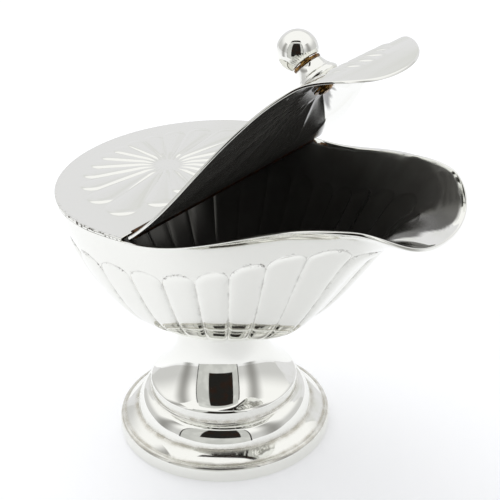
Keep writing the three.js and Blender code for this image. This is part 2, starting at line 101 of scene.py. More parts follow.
def colour(name, description, code):
    """A colour that a user may change, given as an sRGB hex code and kept linear."""
    return bpy.props.FloatVectorProperty(
        name=name, description=description, default=linear(code), subtype="COLOR", size=3, min=0, max=1)


class BoatSizes(bpy.types.PropertyGroup):
    """Sizes of the boat about the axis of its foot, with the spout toward +X."""

    rear_reach: length("Rear reach", "From the foot's axis to the rear of the rim", 48.7)
    spout_reach: length("Spout reach", "From the foot's axis to the tip of the spout", 79.3)
    half_width: length("Half width", "Half of the rim's greatest width", 46.7)
    widest_x: length("Widest place", "Where along the boat the rim is widest", -6.2)
    rim_z: length("Rear rim height", "Height of the level rear rim", 87)
    crest_rise: length("Crest rise", "How far the rim climbs toward the spout", 12.7)
    crest_x: length("Crest place", "Where along the boat the rim is highest", 65.5)
    spout_drop: length("Spout drop", "How far the rim falls from its crest to the tip", 8.4)
    wall: length("Bowl wall", "Thickness of the bowl's sheet", 1)
    seat_z: length("Seat height", "Height of the bowl's flat seat", 42.9)
    seat_radius: length("Seat radius", "Radius of the bowl's flat seat", 15)
    lobe_depth: length("Lobe depth", "How far the lobes swell out of the wall", 0.75)
    lid: length("Lid sheet", "Thickness of both lids", 0.8)
    petal_height: length("Petal height", "How far the pressed petals stand up", 0.45)
    foot_radius: length("Foot radius", "Radius of the foot's bottom band", 35)
    foot_wall: length("Foot wall", "Thickness of the foot's sheet", 1.2)
    hinge_x: length("Hinge place", "Where along the boat the hinge pin lies", 4.8)
    barrel_radius: length("Barrel radius", "Radius of the hinge barrel", 1.3)
    knob_x: length("Knob place", "Where along the boat the knob stands", 54.3)
    ball_radius: length("Ball radius", "Radius of the knob's ball", 5.85)


class BoatFinish(bpy.types.PropertyGroup):
    """Colours of the boat's finishes and of the stage."""

    nickel: colour("Nickel", "Polished nickel plate", "#F1F1EC")
    # Painted shade: the dark colour laid inside the bowl below the lip and under the lids
    inside: colour("Inside", "Dark film inside the bowl", "#504E4A")
    # Residue specks on the lobes and along the lid seam, and painted shade in a line along each lobe's outline
    residue_and_shade: colour("Residue", "Polish residue and thin plate", "#4A443C")
    # Partly painted highlight: pale marks that lighten dark reflections in the foot's corners and at the band's
    # edge
    polish_and_highlight: colour("Dried polish", "Pale polish dried in the foot's corners", "#A79F8A")
    hinge: colour("Hinge brass", "Brass of the hinge, brown all over", "#372B20")
    brass: colour("Brass", "Bare brass where the plate is thin or missing", "#B08A4E")
    tarnish: colour("Tarnish", "Brown film on the bare brass", "#5B3D24")
    floor: colour("Floor", "Plain pale floor", "#E8E9EC")
    cloth: colour("Tent cloth", "Shaded cloth in front of the boat", "#C9CAC8")
    cloth_light: colour("Tent cloth, lit", "Lit cloth in front of the boat", "#E0E1DF")
    dark: colour("Opening", "Dark opening in the tent", "#232220")
    warm: colour("Opening, warm", "Warm shade in the dark opening", "#2C1F19")
    back: colour("Tent cloth, back", "Shaded cloth behind the boat", "#EBEBEE")
    seam: colour("Fold", "Shaded folds of the tent", "#8A8986")


# All that follows is in metres and radians about the foot's axis, which stands here in the row's frame
CENTRE_SHIFT = -0.0153

# The rim's plan between its widest place and the spout's tip
FLANK_PULL = 0.0323
SHOULDER = np.array([0.0519, 0.0309])
SHOULDER_SLOPE = -0.33
SHOULDER_PULL_BACK = 0.006
SHOULDER_PULL_FRONT = 0.0188
SPOUT_HALF_PULL = 0.0214

# How the wall opens near the rim and rounds near the seat: at the spout, the flanks and the rear
FLARE = (0.011, 0.539, 1.382)
FULLNESS = (2.776, 2.487, 2.004)

# How much the lip's bend is eased, at the spout's tip and away from it
LIP_SOFT_TIP = 0.004
LIP_SOFT_FLANK = 0.15
LIP_SPREAD = np.radians(30)

# Lobes: how far up the wall they reach, how much higher at the spout, how their swell falls off, and how much
# of it the inner face shows
LOBE_COUNT = 28
LOBE_TOP_SHARE = 0.74
SPOUT_LOBE_LIFT = 0.175
SPOUT_LOBE_SPREAD = np.radians(27)
LOBE_FADE = 0.005
LOBE_POWER = 2.5
INNER_RELIEF = 0.4
BOWL_EDGE_ROUND = 0.0003
BOLT_HOLE = 0.0028

# Lids: how far their petals reach toward the edge, and the centre and the plain eye that they start from
PETAL_COUNT = 20
PETAL_SHARE = 0.78
PETAL_FADE = 0.005
PETAL_POWER = 1.5
ROSETTE_X = -0.02
ROSETTE_EYE = 0.0035
LID_EYE = 0.008
LID_EDGE_ROUND = 0.00022
LID_GAP = 0.0003
STUD_HOLE = 0.0018

# Where the painted shade below the front lid stops: past a ragged, blurred line square to this way at this
# reach
SHADE_EDGE_WAY = (0.606, 0.795)
SHADE_EDGE_REACH = 0.038
SHADE_EDGE_RAGGED = 0.0022
SHADE_EDGE_BLUR = 0.001

# Residue specks, then a painted shade line, beside a lobe: each one's width over the rounded top and beside the
# crease, and the crease's share of it
GROOVE_SPREAD = (0.09, 0.12, 0.3)
OUTLINE_SHADE_SPREAD = (0.04, 0.05, 1)

# How far below the lip the bowl's inside stays bright before its painted shade begins, at the tip and the
# flanks, how that fades round, and how uneven and how blurred its border is, in shares of it
LIP_BRIGHT_TIP = 0.03
LIP_BRIGHT_FLANK = 0.0015
LIP_BRIGHT_TURN = np.radians(-14)
LIP_BRIGHT_NEAR = np.radians(19)
LIP_BRIGHT_FAR = np.radians(11)
LIP_RAGGED = 0.3
LIP_BLUR = 0.2

# The rear lid's solder seam: its width, its least share, and where round the lid it is roughest
SEAM_WIDTH = 0.0006
SEAM_LEAST = 0.08
SEAM_WORST = np.radians(280)
SEAM_SPREAD = 0.04

# The hinge: rolled knuckles with a slit, and the lid's turn in the photograph's open place
HINGE_ABOVE_RIM = 0.001
OPEN_ANGLE = np.radians(35.8)
BARREL_INSET = 0.0038
BARREL_BORE = 0.00075
KNUCKLE_COUNT = 5
KNUCKLE_GAP = 0.0003
KNUCKLE_CORNER = 0.00012
ROLL_START = np.radians(-62)
ROLL_END = np.radians(268)
SEAT_GAP = 0.0003

# The foot's profile, radius and height: its band, the bead on it, and where each curved run above ends
BAND_TOP = 0.0046
BAND_WIDTH = 0.004
BAND_BEVEL = 0.0004
BAND_EDGE = np.array([(35, 2.6), (35, 4.3), (34.5, 5.2), (33.5, 5.25)]) / 1000
BEAD = np.array([(33.2, 5.2), (32, 6.12), (30.5, 7.2), (29.1, 7.85)]) / 1000
FOOT_STOPS = np.array([(28.9, 7.9), (24.7, 14.2), (24.1, 15.1), (24.1, 17.7), (23.6, 18.7), (14.75, 34.5),
                       (16, 42.9)]) / 1000

# How far each run keeps its starting and ending direction, in shares of its width and height
FOOT_HANDLES = np.array([[(0.12, 0.3), (0.7, 0.12)], [(0.6, 0.1), (0, 0.6)], [(0, 0.3), (0, 0.3)],
                         [(0, 0.6), (0.6, 0.3)], [(0.28, 0.11), (0, 0.525)], [(0, 0.43), (0.62, 0.26)]])

# Points to either side that the foot's slope is averaged over before its inner face is moved in
SLOPE_REACH = 12

# Corners of the foot where pale polish dries, partly painted highlight over dark reflections, the last, at the
# band's edge, painted highlight only, and how far each reaches
POLISH_AND_HIGHLIGHT_CORNERS = np.array([BEAD[0], BEAD[3], FOOT_STOPS[2], BAND_EDGE[2]])
POLISH_AND_HIGHLIGHT_REACH = (0.0006, 0.0009, 0.0008, 0.0007)

# The knob about its stud, radius and height: its base's band and cone, the collar and the ball
KNOB_BAND = [(0.00538, 0.0003), (0.00625, 0.00117), (0.00625, 0.0019), (0.00538, 0.0032)]
KNOB_BAND_BEVEL = 0.0009
KNOB_CONE = [(0.0052, 0.0034), (0.00475, 0.0039), (0.0043, 0.005), (0.0041, 0.006)]
COLLAR_RADIUS = 0.0042
COLLAR_LOW = 0.0063
COLLAR_TOP = 0.007
COLLAR_BEVEL = 0.00025
BALL_FLAT = 0.0073
BALL_CENTRE = 0.0111
BALL_SOCKET = 0.0121

# Patterns of the finishes, counted in clouds per metre: 120 is a cloud every 8 mm, 1400 every 0.7 mm
HAZE = 120
MOP_WAVES = 70
RESIDUE_SPECKS = 1400
RESIDUE_AND_SHADE_RUNS = 260
POLISH_AND_HIGHLIGHT_RUNS = 240
SOLDER_SPECKS = 1100
TARNISH = 900
PAPER_GRAIN = 900

# The least roughness of the polished plate, and the relief of the paper
HAZE_LEAST = 0.03
PAPER_RELIEF = 0.00001

# Light: the room's level, what the polish mirrors of it below and above two heights, and the floor's lift
ROOM_LEVEL = 0.8
MIRRORED_LOW = 0.66
MIRRORED_HIGH = 1.05
MIRRORED_FROM = 0.2
MIRRORED_TO = 0.6
FLOOR_LIFT = 0.265
FLOOR_HALF = 3.0

# The lamp: its power, size and distance, how far it is turned from the front, and how high it stands
LAMP_WATTS = 1.5
LAMP_SIZE = 0.5
LAMP_DISTANCE = 0.8
LAMP_TURN = np.radians(-110)
LAMP_RISE = np.radians(55)

# What the polish mirrors: tone, degrees from the front, distance, shift to the right, height, width, extent up
CARDS = {
    "tent_front": ("front", 27, 0.233, 0, 0.24, 0.42, 0.52),
    "tent_opening": ("dark", 30.5, 0.228, 0, 0.245, 0.235, 0.35),
    "tent_gap": ("dark", 30.5, 0.11, 0, 0.36, 0.2, 0.1),
    "tent_back": ("back", -150, 0.5, 0, 0.27, 1.1, 0.54),
    "tent_seam_left": ("dark", 27, 0.231, -0.212, 0.2, 0.012, 0.44),
    "tent_seam_right": ("dark", 27, 0.231, 0.212, 0.2, 0.012, 0.44),
    "tent_fold_left": ("fold", -41, 0.3, 0, 0.15, 0.2, 0.42),
    "tent_fold_right": ("fold", 99, 0.3, 0, 0.15, 0.22, 0.42),
}

# The photograph's camera: turn, tilt and roll in degrees, its distance, its target, and its lens in millimetres
CAMERA_ANGLES = (38.413, 27.84, -1.194)
CAMERA_DISTANCE = 0.38394
CAMERA_HEIGHT = 0.04
CAMERA_SHIFT = (0.009523, 0.020639)
CAMERA_LENS = 85.76


def lerp(low, high, t):
    return low + (high - low) * t


def smooth(value, low, high):
    """Eases from 0 at low to 1 at high, with flat ends."""
    t = np.clip((value - low) / (high - low), 0, 1)
    return t * t * (3 - 2 * t)


def unit(vectors):
    return vectors / np.linalg.norm(vectors, axis=-1, keepdims=True)


def around(radius, angle, z):
    """Points at a radius and a height round the axis, counted from +X."""
    return np.stack([radius * np.cos(angle), radius * np.sin(angle), z], -1)


def toward(turn, rise=0.0):
    """A direction turned from the boat's front toward the spout, and raised."""
    return np.array([np.sin(turn) * np.cos(rise), -np.cos(turn) * np.cos(rise), np.sin(rise)])


def linked(name, data):
    item = bpy.data.objects.new(name, data)
    bpy.context.collection.objects.link(item)
    return item


def bezier(points, count):
    """Cubic Bezier curve in the plane: the sum of its four points weighted by Bernstein's polynomials."""
    t = np.linspace(0, 1, count)[:, None]
    weights = np.hstack([(1 - t) ** 3, 3 * t * (1 - t) ** 2, 3 * t ** 2 * (1 - t), t ** 3])
    return weights @ np.array(points, float)


def rows_at(keys, values, wanted):
    """Linear interpolation row by row: row i of wanted is looked up in row i of keys."""
    right = np.clip((keys[:, None, :] < wanted[:, :, None]).sum(2), 1, keys.shape[1] - 1)
    left_key = np.take_along_axis(keys, right - 1, 1)
    right_key = np.take_along_axis(keys, right, 1)
    t = np.clip((wanted - left_key) / (right_key - left_key), 0, 1)
    return lerp(np.take_along_axis(values, right - 1, 1), np.take_along_axis(values, right, 1), t)


class Boat:
    """The boat's shape as functions of its sizes, in metres about the foot's axis."""

    def __init__(self, sizes):
        self.s = sizes
        self.outline = self.half_outline()
        self.hinge_z = sizes.rim_z + HINGE_ABOVE_RIM

    def half_outline(self):
        """Half of the rim in plan: a quarter ellipse round the rear, then two cubic curves to the tip."""
        s = self.s
        turn = np.linspace(np.pi, np.pi / 2, OUTLINE_POINTS)
        rear = np.column_stack([s.widest_x + (s.widest_x + s.rear_reach) * np.cos(turn),
                                s.half_width * np.sin(turn)])
        along = np.array([1, SHOULDER_SLOPE]) / np.hypot(1, SHOULDER_SLOPE)
        flank = bezier([(s.widest_x, s.half_width), (s.widest_x + FLANK_PULL, s.half_width),
                        SHOULDER - SHOULDER_PULL_BACK * along, SHOULDER], OUTLINE_POINTS)
        spout = bezier([SHOULDER, SHOULDER + SHOULDER_PULL_FRONT * along,
                        (s.spout_reach, SPOUT_HALF_PULL), (s.spout_reach, 0)], SPOUT_POINTS)
        return np.vstack([rear, flank[1:], spout[1:]])

    def rim_height(self, x):
        """Level behind the hinge, a half cosine up to the crest, and a square down to the tip."""
        s = self.s
        climb = np.clip((x - s.hinge_x) / (s.crest_x - s.hinge_x), 0, 1)
        dip = np.maximum(0, (x - s.crest_x) / (s.spout_reach - s.crest_x))
        return s.rim_z + s.crest_rise * (1 - np.cos(np.pi * climb)) / 2 - s.spout_drop * dip ** 2

    def wall_at(self, angle, rise):
        """Radius and height of the plain wall: the radius opens as a power curve of the share of the rise.

        The share left up to the rim is raised to the flare, eased so that its slope stays finite at the lip."""
        s = self.s
        radius = reach(self.outline, 0, angle)
        rim_z = self.rim_height(radius * np.cos(angle))
        flare = around_bowl(FLARE, angle)
        fullness = around_bowl(FULLNESS, angle)
        turn = np.arctan2(np.sin(angle), np.cos(angle))
        soft = lerp(LIP_SOFT_FLANK, LIP_SOFT_TIP, np.exp(-(turn / LIP_SPREAD) ** 2))
        shape = (-1,) + (1,) * (rise.ndim - 1)
        radius, rim_z, flare, fullness, soft = (
            value.reshape(shape) for value in (radius, rim_z, flare, fullness, soft))
        bend = ((1 - rise + soft) ** flare - soft ** flare) / ((1 + soft) ** flare - soft ** flare)
        spread = np.maximum(0, 1 - bend) ** (1 / fullness)
        return lerp(s.seat_radius, radius, spread), lerp(s.seat_z, rim_z, rise)

    def wall_table(self, angle):
        """Shares of the rise and the wall's length up to each, finely spaced at both ends."""
        step = np.linspace(0, 1, WALL_STEPS)
        rise = np.where(step < 0.5, 4 * step ** 3, 1 - 8 * (1 - step) ** 4)
        rise = np.repeat(rise[None], len(angle), 0)
        radius, z = self.wall_at(angle, rise)
        piece = np.hypot(np.diff(radius, axis=1), np.diff(z, axis=1))
        return rise, np.concatenate([np.zeros((len(angle), 1)), np.cumsum(piece, 1)], 1)

    def wall_points(self, angle, along):
        """Points of the plain wall at shares of its own length in each radial plane."""
        rise, run = self.wall_table(angle)
        at = rows_at(run, rise, along * run[:, -1:])
        radius, z = self.wall_at(angle, at)
        return around(radius, angle[:, None], z)

    def wall_normals(self, angle, along):
        """Outward normals by differences round and up the wall, a little below the flare's sharp end."""
        step = 0.002
        low = np.clip(along - step, 0.004, 0.97)
        round_ = self.wall_points(angle + step, low) - self.wall_points(angle - step, low)
        up = self.wall_points(angle, low + step) - self.wall_points(angle, low)
        return unit(np.cross(round_, up))

    def lobe_divisions(self):
        """Angles that part the lobes, evenly spaced by length round the wall where the lobes end."""
        angle = np.linspace(0, TAU, RING_STEPS)
        radius, z = self.wall_at(angle, np.full((len(angle), 1), LOBE_TOP_SHARE))
        ring = around(radius[:, 0], angle, z[:, 0])
        run = np.r_[0, np.cumsum(np.linalg.norm(np.diff(ring, axis=0), axis=1))]
        place = (np.arange(LOBE_COUNT + 1) - 0.5) * run[-1] / LOBE_COUNT
        return np.sign(place) * np.interp(np.abs(place), run, angle)


def reach(outline, from_x, angle):
    """Distance from a point on the axis of symmetry to an outline that is seen once in every direction."""
    polar = np.arctan2(outline[:, 1], outline[:, 0] - from_x)
    radius = np.hypot(outline[:, 0] - from_x, outline[:, 1])
    order = np.argsort(polar, kind="stable")
    return np.interp(np.abs(np.arctan2(np.sin(angle), np.cos(angle))), polar[order], radius[order])


def around_bowl(value, angle):
    """A value at the spout, the flanks and the rear, blended as the exponent of a cosine and its square."""
    front, side, rear = value
    c = np.cos(angle)
    return side * (front / rear) ** (c / 2) * (front * rear / side ** 2) ** (c * c / 2)


def surface(name, rings, body, materials, nodes, material_rows=None, joined=True, marks=None):
    """A closed smooth mesh from rings of points: each ring joins the next, and the last may join the first.

    Points that fall together are made one, and the quads that shrink there lose their repeated corners."""
    rings = np.asarray(rings, float)
    count, columns = rings.shape[:2]
    i, j = np.meshgrid(np.arange(count if joined else count - 1), np.arange(columns), indexing="ij")
    below, beside = (i + 1) % count, (j + 1) % columns
    quads = np.stack([i * columns + j, i * columns + beside, below * columns + beside, below * columns + j], -1)
    points = rings.reshape(-1, 3)
    _, first, merged = np.unique(np.round(points, 8), axis=0, return_index=True, return_inverse=True)
    quads = merged.reshape(-1)[quads.reshape(-1, 4)]
    keep = quads != np.roll(quads, 1, 1)
    sides = keep.sum(1)
    whole = sides > 2
    quads, keep, sides = quads[whole], keep[whole], sides[whole]
    mesh = bpy.data.meshes.new(name)
    mesh.vertices.add(len(first))
    mesh.vertices.foreach_set("co", points[first].astype(np.float32).ravel())
    mesh.loops.add(int(sides.sum()))
    mesh.loops.foreach_set("vertex_index", quads[keep].astype(np.int32))
    mesh.polygons.add(len(quads))
    mesh.polygons.foreach_set("loop_start", (np.cumsum(sides) - sides).astype(np.int32))
    for material in materials:
        mesh.materials.append(material)
    if material_rows is not None:
        mesh.polygons.foreach_set("material_index", np.repeat(material_rows, columns)[whole].astype(np.int32))
    for key, values in (marks or {}).items():
        mark = mesh.attributes.new(key, "FLOAT", "POINT")
        mark.data.foreach_set("value", np.asarray(values, float).ravel()[first].astype(np.float32))
    mesh.update(calc_edges=True)
    mesh.shade_smooth()
    piece = linked(name, mesh)
    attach(piece, body)
    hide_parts(*nodes)


def rounded(outer_end, outer_before, inner_end, inner_before, radius, steps=4):
    """Rings that round a sheet's cut edge: a quarter circle at its outer corner and at its inner one."""
    across = unit(inner_end - outer_end)
    down_outer, down_inner = unit(outer_before - outer_end), unit(inner_before - inner_end)
    rings = []
    for t in np.linspace(0, np.pi / 2, steps):
        rings.append(outer_end + radius * (1 - np.sin(t)) * down_outer + radius * (1 - np.cos(t)) * across)
    for t in np.linspace(np.pi / 2, 0, steps):
        rings.append(inner_end + radius * (1 - np.sin(t)) * down_inner - radius * (1 - np.cos(t)) * across)
    return rings


def to_row(points):
    """From the foot's axis to the row's frame, whose origin is the middle of the whole boat."""
    return points + np.array([CENTRE_SHIFT, 0, 0])


def raised(angle):
    """The matrix that turns points about Y and lifts the spout's end."""
    c, s = np.cos(angle), np.sin(angle)
    return np.array([[c, 0, -s], [0, 1, 0], [s, 0, c]])


def opened(boat, points):
    """Turns points of the shut front lid about the hinge pin to the open place."""
    pin = np.array([boat.s.hinge_x, 0, boat.hinge_z])
    return (points - pin) @ raised(OPEN_ANGLE).T + pin


def stations(count):
    """Places across a lobe or a petal from -1 up to but not including 1, closest beside the creases."""
    t = np.linspace(-1, 1, count + 1)[:-1]
    return 0.35 * t + 0.65 * np.sin(t * np.pi / 2)


def ragged(angle):
    """An uneven border from -1 to 1 round a centre: the mean of two sines whose periods differ."""
    return (np.sin(41 * angle) + np.sin(67 * angle + 1)) / 2


def make_bowl(boat, materials):
    """The bowl's sheet: the plain wall moved out by each lobe's swell, and its inner face one wall inside it.

    A lobe is a flattened dome on a strip of the wall, 1 - (across^2 + above^2)^2.5, where above counts from the
    centre of the half circle that tops it. Rows run up to that half circle, closer there, and on to the rim."""
    s = boat.s
    divisions = boat.lobe_divisions()
    middle = np.repeat((divisions[1:] + divisions[:-1]) / 2, LOBE_COLUMNS)
    width = np.repeat(np.diff(divisions), LOBE_COLUMNS)
    across = np.tile(stations(LOBE_COLUMNS), LOBE_COUNT)
    angle = middle + across * width / 2

    turn = np.arctan2(np.sin(angle), np.cos(angle))
    top_rise = LOBE_TOP_SHARE + SPOUT_LOBE_LIFT * np.exp(-(turn / SPOUT_LOBE_SPREAD) ** 2)
    half_pitch = boat.wall_at(angle, top_rise[:, None])[0][:, 0] * width / 2
    rise, run = boat.wall_table(angle)
    arch_centre = rows_at(rise, run, top_rise[:, None])[:, 0] - half_pitch
    arch = arch_centre + half_pitch * np.sqrt(np.maximum(0, 1 - across ** 2))

    crowded, even = np.sin(np.linspace(0, np.pi / 2, LOBE_ROWS)), np.linspace(0, 1, LOBE_ROWS)
    lower = crowded * 0.6 + even * 0.4
    upper = np.linspace(0, 1, RIM_ROWS)[1:] ** 1.2
    runs = np.concatenate([lower * arch[:, None], lerp(arch[:, None], run[:, -1:], upper)], 1)
    along = runs / run[:, -1:]
    radius = boat.wall_at(angle, rows_at(run, rise, runs))[0]
    above = np.maximum(0, (runs - arch_centre[:, None]) / half_pitch[:, None])
    local = np.minimum(1, radius * width[:, None] / (2 * half_pitch[:, None]))
    from_middle = across[:, None] ** 2 + above ** 2
    swell = s.lobe_depth * local * np.maximum(0, 1 - from_middle ** LOBE_POWER) * smooth(runs, 0, LOBE_FADE)

    points = boat.wall_points(angle, along)
    normals = boat.wall_normals(angle, along)
    rim_normal = normals[:, -1]
    rim_x = points[:, -1, 0]
    level = 1 - smooth(rim_x, s.hinge_x, s.crest_x)
    near_rim = along ** 6
    normals[:, :, 2] *= 1 - level[:, None] * near_rim
    normals[:, 0] = (0, 0, -1)
    normals = unit(normals)
    outer = points + normals * swell[..., None]
    outer[:, :, 2] -= s.wall * (np.abs(rim_normal[:, 2]) * (1 - level))[:, None] * near_rim
    inner = outer - normals * (s.wall + (1 - INNER_RELIEF) * swell[..., None])
    inner[:, -1, 2] = boat.rim_height(inner[:, -1, 0])

    edge = rounded(outer[:, -1], outer[:, -2], inner[:, -1], inner[:, -2], BOWL_EDGE_ROUND)
    hole = [around(BOLT_HOLE, angle, np.full(len(angle), z)) for z in (s.seat_z, s.seat_z + s.wall)]
    rings = [hole[0], *np.moveaxis(outer[:, :-1], 1, 0), *edge, *np.moveaxis(inner[:, -2::-1], 1, 0), hole[1]]
    is_inside = np.arange(len(rings)) >= outer.shape[1] + len(edge)

    # Painted shade inside the bowl: dark below a bright band under the lip, which is widest near the spout's
    # tip and has a ragged, blurred border
    past = turn - LIP_BRIGHT_TURN
    near_tip = np.exp(-(past / np.where(past < 0, LIP_BRIGHT_NEAR, LIP_BRIGHT_FAR)) ** 2)
    lip = lerp(LIP_BRIGHT_FLANK, LIP_BRIGHT_TIP * (1 + LIP_RAGGED * ragged(angle)), near_tip)
    film = smooth(run[:, -1:] - runs, lip[:, None] * (1 - LIP_BLUR), lip[:, None] * (1 + LIP_BLUR))
    from_arch = (runs - arch[:, None]) / half_pitch[:, None]
    from_crease = 1 - np.abs(across[:, None])
    none, blank = 0 * angle, 0 * runs

    def by_ring(outside, inside, at_hole=0):
        return np.array([none, *outside.T[:-1], *[none] * len(edge), *inside.T[-2::-1], none + at_hole])

    # Marks on the bowl: where residue specks gather, a painted shade line along each lobe's outline, and
    # painted shade inside below the lip
    surface("bowl_sheet", to_row(np.array(rings)), "boat", materials, ["bowl"],
            is_inside.astype(int), marks={
                "groove": by_ring(near_lobe_edge(from_arch, from_crease, *GROOVE_SPREAD), blank),
                "crease": by_ring(near_lobe_edge(from_arch, from_crease, *OUTLINE_SHADE_SPREAD), blank),
                "film": by_ring(blank, film, 1)})


def near_lobe_edge(from_arch, from_crease, top_width, crease_width, crease_share):
    """How close a place is to a lobe's rounded top or the crease beside it: the greater of two bell curves."""
    top = np.exp(-(from_arch / top_width) ** 2)
    crease = np.exp(-(from_crease / crease_width) ** 2) * (from_arch < 0)
    return np.maximum(top, crease_share * crease)


def cut_outline(boat, cut_x, front):
    """Half of a lid's outline: the rim's plan before or behind a straight cut across the boat."""
    outline = boat.outline
    half = np.interp(cut_x, outline[:, 0], outline[:, 1])
    line = np.column_stack([np.full(CUT_POINTS, cut_x), np.linspace(0, half, CUT_POINTS)])
    if front:
        return np.vstack([line, outline[outline[:, 0] > cut_x]]), half
    return np.vstack([outline[outline[:, 0] < cut_x], line[::-1]]), half


def make_lid(boat, front, materials):
    """A pressed sheet in rays from a centre: underside plus relief below, one sheet's thickness more above.

    A petal is a flattened dome on a wedge, 1 - (across^2 + beyond^2)^1.5, where beyond counts from the middle
    of its rounded tip, and it eases in from the eye."""
    s = boat.s
    centre_x, eye, hole = (s.knob_x, LID_EYE, STUD_HOLE) if front else (ROSETTE_X, ROSETTE_EYE, 0.0)
    cut = s.hinge_x + s.barrel_radius + SEAT_GAP if front else s.hinge_x - s.barrel_radius - SEAT_GAP
    outline, half_cut = cut_outline(boat, cut, front)
    pitch = TAU / PETAL_COUNT
    across = np.tile(stations(PETAL_COLUMNS), PETAL_COUNT)
    angle = (np.repeat(np.arange(PETAL_COUNT), PETAL_COLUMNS) + across / 2) * pitch
    corner_angle = np.arctan2(half_cut, cut - centre_x)
    angle = np.sort(np.concatenate([angle % TAU, [corner_angle, TAU - corner_angle]]))
    nearest = np.round(angle / pitch) * pitch
    across = 2 * (angle - nearest) / pitch
    far = PETAL_SHARE * reach(outline, centre_x, nearest)
    half = np.minimum(far * np.tan(pitch / 2), (far - eye) / 2)
    tip = far - half * (1 - np.sqrt(np.maximum(0, 1 - across ** 2)))
    edge = reach(outline, centre_x, angle)

    t = np.linspace(0, 1, PETAL_ROWS)[:, None]
    distance = np.concatenate([
        lerp(hole, eye, np.linspace(0, 1, EYE_ROWS)[:-1, None]) * np.ones_like(angle),
        lerp(eye, tip, 0.5 * t + 0.5 * np.sin(t * np.pi / 2)),
        lerp(tip, edge, np.linspace(0, 1, LID_RIM_ROWS)[1:, None]),
    ])
    beyond = np.maximum(0, (distance - far + half) / half)
    relief = s.petal_height * np.maximum(0, 1 - (across ** 2 + beyond ** 2) ** PETAL_POWER)
    relief = relief * smooth(distance, eye, eye + PETAL_FADE)
    x = centre_x + distance * np.cos(angle)
    y = distance * np.sin(angle)
    underside = boat.rim_height(x) + LID_GAP if front else np.full_like(x, s.rim_z)
    low = np.stack([x, y, underside + relief], -1)
    high = low + np.array([0, 0, s.lid])
    edge_rings = rounded(low[-1], low[-2], high[-1], high[-2], LID_EDGE_ROUND)
    points = np.array([*low[:-1], *edge_rings, *high[-2::-1]])
    is_under = np.arange(len(points)) < len(low) - 1

    none = np.zeros_like(distance)
    worst = np.exp(-((np.cos(angle - SEAM_WORST) - 1) / SEAM_SPREAD) ** 2)
    soldered = lerp(SEAM_LEAST, 1, worst) * np.exp(-((edge - distance) / SEAM_WIDTH) ** 2) * (not front)
    seam = [*none[:-1], *[soldered[-1]] * len(edge_rings), *soldered[-2::-1]]
    # Painted shade below the lids: all under the rear lid, and under the front lid up to a ragged line toward
    # its far end
    past_film = SHADE_EDGE_WAY[0] * x + SHADE_EDGE_WAY[1] * y - SHADE_EDGE_REACH + SHADE_EDGE_RAGGED * ragged(angle)
    kept_shade = 1 - smooth(past_film, -SHADE_EDGE_BLUR, SHADE_EDGE_BLUR) if front else none + 1
    film = [*kept_shade[:-1], *none[:len(edge_rings)], *none[-2::-1]]
    node, body = ("front_lid", "lid") if front else ("rear_lid", "boat")
    surface(node + "_sheet", to_row(opened(boat, points) if front else points), body, materials,
            [node], is_under.astype(int), marks={"seam": np.array(seam), "film": np.array(film)})


def revolved(profile, columns):
    """Carries a closed profile of radius and height round Z."""
    angle = np.linspace(0, TAU, columns, endpoint=False)
    profile = np.asarray(profile, float)
    ring = np.stack([np.cos(angle), np.sin(angle)], -1)
    return np.concatenate([profile[:, None, :1] * ring, np.repeat(profile[:, None, 1:], columns, 1)], -1)


def bevelled(corners, radius, steps=4):
    """Rounds a closed profile's corners by quadratic curves that start and end a radius from them."""
    corners = np.asarray(corners, float)
    before, after = np.roll(corners, 1, 0), np.roll(corners, -1, 0)
    shorter = np.minimum(np.linalg.norm(before - corners, axis=1), np.linalg.norm(after - corners, axis=1))
    inset = np.minimum(radius, 0.45 * shorter)[:, None]
    start, end = corners + unit(before - corners) * inset, corners + unit(after - corners) * inset
    t = np.linspace(0, 1, steps)[None, :, None]
    run = (1 - t) ** 2 * start[:, None] + 2 * t * (1 - t) * corners[:, None] + t ** 2 * end[:, None]
    return run.reshape(-1, 2)


def make_foot(boat, nickel):
    """The spun foot: a band with a bead, Bezier runs up the outside, and the same runs moved in by the wall."""
    s = boat.s
    top = s.seat_z
    runs = [bezier([start, start + (end - start) * leave, end - (end - start) * arrive, end], FOOT_RUN_ROWS)
            for start, end, (leave, arrive) in zip(FOOT_STOPS, FOOT_STOPS[1:], FOOT_HANDLES)]
    shell = np.vstack([runs[0], *[run[1:] for run in runs[1:]]])
    slope = np.stack([np.convolve(np.pad(part, SLOPE_REACH, "edge"), np.ones(2 * SLOPE_REACH + 1), "valid")
                      for part in np.gradient(shell, axis=0).T], -1)
    inside = shell - s.foot_wall * unit(np.column_stack([slope[:, 1], -slope[:, 0]]))
    band_in = s.foot_radius - BAND_WIDTH
    low = BAND_TOP - s.foot_wall
    profile = np.vstack([
        [(band_in, 0)],
        bevelled([(s.foot_radius, 0), (s.foot_radius, BAND_TOP), (band_in, BAND_TOP)], BAND_BEVEL)[:4],
        bezier(BAND_EDGE, BAND_EDGE_ROWS),
        bezier(BEAD, BEAD_ROWS),
        shell,
        [(BOLT_HOLE, top), (BOLT_HOLE, top - s.foot_wall), (inside[-1][0], top - s.foot_wall)],
        inside[-2:0:-1],
        [(FOOT_STOPS[0, 0] - s.foot_wall, low), (band_in, low)],
    ])
    # Pale marks at the foot's corners, dried polish and partly painted highlight, and at the band's edge
    # painted highlight only
    near = np.linalg.norm(profile[:, None] - POLISH_AND_HIGHLIGHT_CORNERS, axis=2) / POLISH_AND_HIGHLIGHT_REACH
    groove = np.repeat(np.exp(-near.min(1) ** 2)[:, None], FOOT_COLUMNS, 1)
    surface("foot_sheet", to_row(revolved(profile, FOOT_COLUMNS)), "boat", [nickel], ["foot"],
            marks={"groove": groove})


